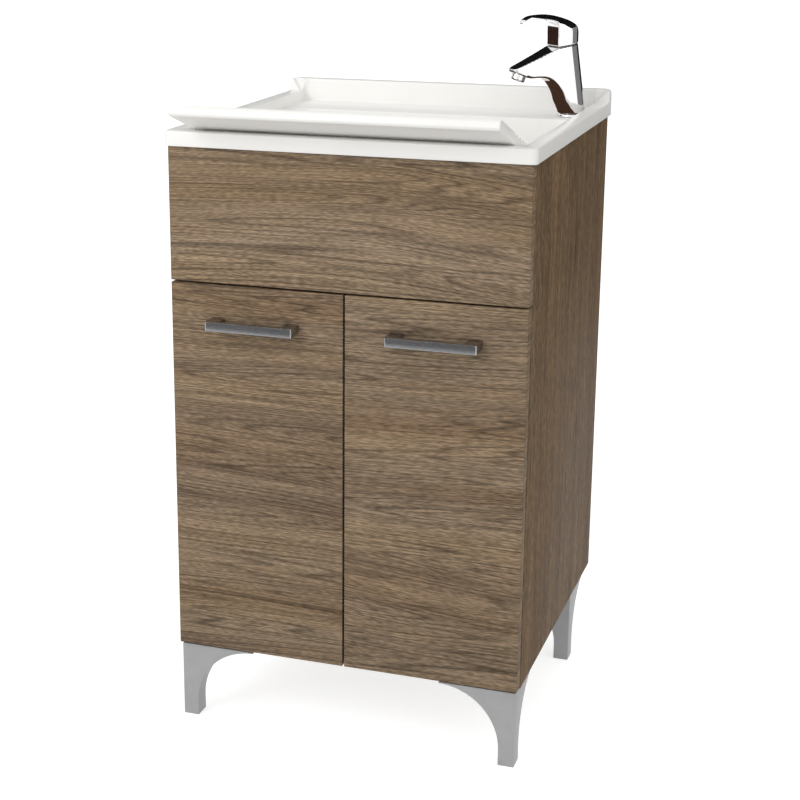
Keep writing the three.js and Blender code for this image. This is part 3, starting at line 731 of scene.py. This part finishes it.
def waste():
    placed(spun(FLANGE_PROFILE, steps=96), "waste_flange", "chrome", AT_DRAIN)
    placed(spun(PLUG_PROFILE, steps=96, solid=True), "drain_plug", "rubber", AT_DRAIN)
    placed(spun(GASKET_PROFILE, steps=64, width=0.8), "waste_gasket", "rubber", AT_DRAIN)
    tail_nut = ribbed(spun(TAIL_NUT_PROFILE, steps=160), radius=33.4, ribs=16, depth=1.6)
    cup = ribbed(spun(CUP_PROFILE, steps=160, solid=True), radius=35.8, ribs=20, depth=1.5)
    outlet_nut = ribbed(spun(OUTLET_NUT_PROFILE, steps=144), radius=21.2, ribs=12, depth=1.4)
    plastic_pieces = [
        ("tail_pipe", spun(TAIL_PROFILE, steps=64, width=0.5), AT_DRAIN),
        ("tail_nut", tail_nut, AT_DRAIN),
        ("trap_cup", cup, AT_DRAIN),
        ("trap_body", trap_body(), AT_DRAIN),
        ("outlet_nut", outlet_nut, at_outlet(62) @ FORWARD),
        ("outlet_pipe", spun(OUTLET_PIPE_PROFILE, steps=64, width=0.4), at_outlet(50) @ BACKWARD),
    ]
    for node, shape, local in plastic_pieces:
        placed(shape, node, "polypropylene", local)
    softened("waste_nut", "polypropylene", width=1.2, segments=3)


# ---------------------------------------------------------------- tap
# Drawn upright: u runs from the tap hole's axis towards the end of the spout, and heights are
# over the deck. Outlines are (u, height), and profiles are (radius, height).
SPOUT_OUTLINE = [
    (-20, 5.3), (22, 5.3), (24, 21), (28, 34), (37, 47), (48, 56), (60, 59), (75, 58.6),
    (79.5, 58.8), (102.3, 68.1), (104.4, 69.6), (105, 71.5), (103.5, 73.2), (85, 80.7),
    (60, 91), (37, 101.1), (-2.5, 107), (-5, 95), (-9, 75), (-13, 50), (-18, 22),
]
SPOUT_CORNERS = {0, 1, 8, 9, 15, 16}
SPOUT_UNDERSIDE = SPOUT_OUTLINE[2:9]
SPOUT_END = 95                          # before the lean
FOOT_FLARE = [
    (0, 5), (20.5, 5), (21.5, 9), (25, 17), (33, 28), (60, 42), (110, 52), (110, 120), (0, 120),
]
LEVER_OUTLINE = [
    (-2.5, 107.6), (37, 101.7), (37.5, 128), (39, 137), (51, 140), (66, 141), (80, 140), (90, 134),
    (91, 136), (84, 142), (72, 146), (51, 147), (37, 145), (19, 139), (7.5, 131.5), (1, 123),
    (-2, 114),
]
LEVER_CORNERS = {0, 1, 3, 7, 8}
LEVER_END = 92
# The lever's cap from the front: half its width at each height.
CAP_HALF_WIDTHS = [
    (19.3, 98), (19.3, 118), (18.6, 128), (16.5, 135), (12.5, 141), (8, 146), (5, 149),
]
BASE_PROFILE = [(0, 0.3), (19.8, 0.3), (20.5, 1), (20.5, 2.6), (20, 3.8), (18.9, 5), (0, 5)]
# Heights along the nozzle's slanted axis, from the spout's lower end.
AERATOR_PROFILE = [
    (0, -5.8), (7.4, -5.8), (7.8, -7.2), (9.2, -7.8), (10, -7), (10, -4.4), (9.4, -3.9), (9.4, -3.3),
    (10, -2.8), (10, -0.7), (9.6, -0.3), (0, -0.3),
]
WASHER_PROFILE = [(14.3, -12.5), (23.5, -12.5), (23.5, -7.3), (14.3, -7.3)]
NOZZLE_MIDDLE = (91, 0, 63.49)          # middle of the spout's slanted lower end
NOZZLE_TILT = math.atan2(9.3, 22.8)
SIDE_VIEW_REACH = 30                    # half the width of a side view's solid, before trimming

CASTING_GRID = 0.6                      # voxel size for the cast pieces
BODY_EASING = 48                        # rounds of smoothing
LEVER_EASING = 26
UNDERSIDE_EASING = 120
UNDERSIDE_REACH = 8                     # how far from the underside's line this last one works


def eased(points, corners, steps=7):
    """An outline through the points, curved (Catmull-Rom) except at the corners."""
    count = len(points)
    result = []
    for index in range(count):
        before, start, end, after = (Vector(points[(index + k) % count]) for k in (-1, 0, 1, 2))
        if index in corners:
            before = start
        if (index + 1) % count in corners:
            after = end
        straight = index in corners and (index + 1) % count in corners
        for step in range(1 if straight else steps):
            t = step / steps
            bend = 2 * before - 5 * start + 4 * end - after
            twist = 3 * start - before - 3 * end + after
            result.append(0.5 * (2 * start + (end - before) * t + bend * t**2 + twist * t**3))
    return [tuple(point) for point in result]


def half_circle(middle, radius, start, steps=20):
    """Points of a half circle about a place on the u axis, from an angle on."""
    turn = [start + math.pi * step / steps for step in range(steps + 1)]
    return [(middle + radius * math.cos(angle), radius * math.sin(angle)) for angle in turn]


def casting_plan(centre, radius, end, end_radius, low, high):
    """A column with the plan of a casting: round at the back, narrowing to a round front end."""
    front = half_circle(end - end_radius, end_radius, -math.pi / 2)
    back = half_circle(centre, radius, math.pi / 2)
    return prism(front + back, low, high, "z")


def in_joint(shape):
    """Tips an upright piece to stand square on the plane between the body and the lever."""
    tilt = Matrix.Rotation(TAP_JOINT_TILT, 4, "Y")
    return moved(shape, Matrix.Translation(TAP_JOINT_MIDDLE) @ tilt)


def near_line(point, line):
    """Distance from a point to a line through several points."""
    gaps = []
    for start, end in zip(line, line[1:]):
        along = (point - start).dot(end - start) / (end - start).length_squared
        gaps.append((point - start.lerp(end, min(1.0, max(0.0, along)))).length)
    return min(gaps)


def ease_underside(body):
    """Smooths the spout's underside further, where the foot's flare meets it."""
    under = [Vector((u, 0, height)) for u, height in SPOUT_UNDERSIDE]
    near = []
    for vertex in body.verts:
        seen_from_side = Vector((vertex.co.x, 0, vertex.co.z))
        if near_line(seen_from_side, under) < UNDERSIDE_REACH:
            near.append(vertex)
    axes = {"use_axis_x": True, "use_axis_y": True, "use_axis_z": True}
    for _ in range(UNDERSIDE_EASING):
        bmesh.ops.smooth_vert(body, verts=near, factor=0.5, **axes)


def tap_body():
    side = prism(eased(SPOUT_OUTLINE, SPOUT_CORNERS), -SIDE_VIEW_REACH, SIDE_VIEW_REACH, "y")
    flare = spun(FOOT_FLARE, steps=96, solid=True)
    plan = casting_plan(centre=0, radius=20, end=SPOUT_END, end_radius=12, low=0, high=120)
    for vertex in plan.verts:
        vertex.co.x += TAP_LEAN * vertex.co.z
    bore = in_joint(rod(radius=12.6, low=-38, high=10))
    steps = [("INTERSECT", plan), ("INTERSECT", flare), ("DIFFERENCE", bore)]
    body = carved(side, steps, voxel=CASTING_GRID, smoothing=BODY_EASING)
    ease_underside(body)
    placed(body, "tap_body", "chrome", AT_TAP, sharp=60)


def tap_lever():
    side = prism(eased(LEVER_OUTLINE, LEVER_CORNERS), -SIDE_VIEW_REACH, SIDE_VIEW_REACH, "y")
    plan = casting_plan(centre=16.5, radius=19.2, end=LEVER_END, end_radius=8, low=90, high=160)
    widths = CAP_HALF_WIDTHS + [(-half, height) for half, height in reversed(CAP_HALF_WIDTHS)]
    front = prism(widths, low=-30, high=120, along="x")
    bore = in_joint(rod(radius=12.5, low=-10, high=11))
    steps = [("INTERSECT", plan), ("INTERSECT", front), ("DIFFERENCE", bore)]
    lever = carved(side, steps, voxel=CASTING_GRID, smoothing=LEVER_EASING)
    placed(lever, "tap_lever", "chrome", AT_TAP, sharp=60)


def threaded(core, crest, low, high, pitch=1.8):
    """A stud whose wall is turned into fine even rings, as a thread reads from a step away."""
    profile = [(0, low - 1), (core - 1, low - 1), (core, low)]
    height = low
    while height + pitch < high:
        profile += [(core - 0.7, height + pitch * 0.35), (crest, height + pitch * 0.7)]
        height += pitch
    profile += [(core, high), (core, high + 1), (0, high + 1)]
    return spun(profile, steps=48, solid=True)


def tap():
    tap_body()
    tap_lever()
    placed(spun(BASE_PROFILE, steps=96, solid=True), "tap_base_ring", "chrome", AT_TAP)
    at_nozzle = AT_TAP @ Matrix.Translation(NOZZLE_MIDDLE) @ Matrix.Rotation(-NOZZLE_TILT, 4, "Y")
    placed(spun(AERATOR_PROFILE, steps=96, solid=True), "tap_aerator", "chrome", at_nozzle)
    placed(spun(WASHER_PROFILE, steps=64, width=0.8), "tap_washer", "rubber", AT_TAP)
    shank = threaded(core=13.9, crest=14, low=-57, high=-1)
    placed(shank, "tap_shank", "brass", AT_TAP)
    softened("tap_nut", "brass", width=0.8, segments=3)
    softened("tap_stem", "brass", width=0.3)
    softened("tap_cartridge", "polypropylene", width=0.4)
    for node in ("tap_inlet_hot", "tap_inlet_cold"):
        softened(node, "brass", width=0.5, segments=3)


# ---------------------------------------------------------------- stage
# Places are metres in the frame, with the floor at 0 and the doors towards -Y.
FLOOR_REACH = 40                        # half its side
FLOOR_GLOW = 0.66                       # tops the lit floor up to white
SKY_AS_LIGHT = 0.83
SKY_AS_SEEN = 1.0

# Fitted to the cabinet's edges in the photograph, with the shift then set.
CAMERA_PLACE = at(948.7, -2063.6, 1050.4)
CAMERA_TURN = 0.3443                    # angles in radians
CAMERA_DIP = 0.2748
CAMERA_ROLL = -0.002
CAMERA_LENS = 77.72
CAMERA_SHIFT = (0.103, -0.0445)

WHITE = "#FFFFFF"
BLACK_CARD = "#1A1A1C"


def sheet(name, half, material):
    """A flat square with a material, facing up."""
    shape = bmesh.new()
    bmesh.ops.create_grid(shape, x_segments=1, y_segments=1, size=half)
    mesh = mesh_from(shape, name)
    mesh.materials.append(material)
    return linked(name, mesh)


def seen(tree):
    """1 for rays from the camera, mirrors and glass, and 0 for the rays that carry light."""
    path = add(tree, "LightPath").outputs
    shown = path["Is Camera Ray"]
    for kind in ("Is Glossy Ray", "Is Transmission Ray"):
        shown = add(tree, "Math", {0: shown, 1: path[kind]}, operation="MAXIMUM").outputs[0]
    return shown


def floor():
    """A wide pale floor that keeps the shadow and reads white to the camera."""
    made, tree, shader = finish_named("studio_floor_paint", Roughness=0.9, Specular_IOR_Level=0.0)
    shader.inputs["Base Color"].default_value = srgb("#CFCFCF")
    shader.inputs["Emission Color"].default_value = srgb(WHITE)
    glow = add(tree, "Math", {0: seen(tree), 1: FLOOR_GLOW}, operation="MULTIPLY").outputs[0]
    tree.links.new(glow, shader.inputs["Emission Strength"])
    ground = sheet("studio_floor", FLOOR_REACH, made)


def world():
    """An even pale sky: full white to the camera and to reflections, softer as a light."""
    sky = bpy.data.worlds.new("studio_sky")
    bpy.context.scene.world = sky
    sky.use_nodes = True
    background = sky.node_tree.nodes["Background"]
    strength = ranged(sky.node_tree, seen(sky.node_tree), (0.0, 1.0), (SKY_AS_LIGHT, SKY_AS_SEEN))
    sky.node_tree.links.new(strength, background.inputs["Strength"])
    background.inputs["Color"].default_value = srgb(WHITE)


def flag(name, place, target, size, colour):
    """A dark or grey studio card seen only in reflections, and only from its front: it gives
    polished metal its dark edges."""
    made, tree, shader = finish_named(name + "_cloth", Roughness=1.0, Specular_IOR_Level=0.0)
    shader.inputs["Base Color"].default_value = srgb(colour)
    back = add(tree, "NewGeometry").outputs["Backfacing"]
    front = add(tree, "Math", {0: 1.0, 1: back}, operation="SUBTRACT").outputs[0]
    tree.links.new(front, shader.inputs["Alpha"])
    card = sheet(name, 0.5, made)
    turn = (Vector(target) - Vector(place)).to_track_quat("Z", "Y").to_matrix().to_4x4()
    card.matrix_world = Matrix.Translation(place) @ turn @ Matrix.Diagonal((*size, 1, 1))
    for kind in ("camera", "diffuse", "shadow", "transmission", "volume_scatter"):
        setattr(card, "visible_" + kind, False)


def lamp(name, place, target, size, power, mirrored=True):
    """A square soft lamp turned to a target; a lamp that isn't mirrored shows in no reflection."""
    light = bpy.data.lights.new(name, "AREA")
    light.size = size
    light.energy = power
    holder = linked(name, light)
    holder.location = place
    holder.rotation_euler = (Vector(target) - Vector(place)).to_track_quat("-Z", "Y").to_euler()
    holder.visible_glossy = mirrored


def camera():
    """The photograph's view: right of the middle, above the rim, looking slightly down."""
    data = bpy.data.cameras.new("photo_view")
    data.sensor_width = 36
    data.lens = CAMERA_LENS
    data.shift_x, data.shift_y = CAMERA_SHIFT
    holder = linked("photo_view", data)
    turn = Matrix.Rotation(CAMERA_TURN, 4, "Z") @ Matrix.Rotation(math.pi / 2 - CAMERA_DIP, 4, "X")
    roll = Matrix.Rotation(CAMERA_ROLL, 4, "Z")
    holder.matrix_world = Matrix.Translation(CAMERA_PLACE) @ turn @ roll
    bpy.context.scene.camera = holder


def lights_and_cards():
    lamp("key_softbox", (-1.8, -2.6, 2.6), (0, 0, 0.5), size=1.8, power=38)
    lamp("low_bounce", (-0.4, -2.6, 0.35), (0, 0, 0.7), size=1.6, power=10, mirrored=False)
    lamp("fill_softbox", (2.6, -1.6, 1.8), (0, 0, 0.5), size=2.0, power=7)
    # The rear, high right and ceiling cards meet, so that no bright gap shows in the tap.
    flag("rear_flag", (0.4, 2.3, 1.65), (0.4, 0.0, 1.65), (4.4, 3.3), BLACK_CARD)
    flag("right_flag", (2.09, 0.81, 0.7), (0.2, 0.2, 0.7), (2.3, 1.4), "#8A8A8D")
    flag("high_right_flag", (2.6, 0.35, 2.4), (0.0, 0.35, 2.4), (3.9, 1.8), BLACK_CARD)
    flag("ceiling_flag", (0.4, 0.75, 3.3), (0.4, 0.75, 0.0), (4.4, 3.1), BLACK_CARD)
    flag("front_flag", (-0.4, -1.5, 0.38), (-0.4, 0.0, 0.38), (2.5, 0.75), "#8A8A8C")
    flag("left_flag", (-2.2, 0.3, 1.15), (0.2, 0.2, 0.9), (1.3, 1.3), "#3B2A22")
    # This one lies just over the tap deck and shows in the spout's underside.
    low_spot = at(335, 405, LEDGE_TOP + 2)
    flag("spout_flag", low_spot, low_spot + Vector((0, 0, 1)), (0.28, 0.19), "#4A3428")


# ---------------------------------------------------------------- making
camera()
boards()
fittings()
basin()
washboard()
waste()
tap()

floor()
world()
lights_and_cards()
bpy.context.scene.view_settings.view_transform = "Standard"
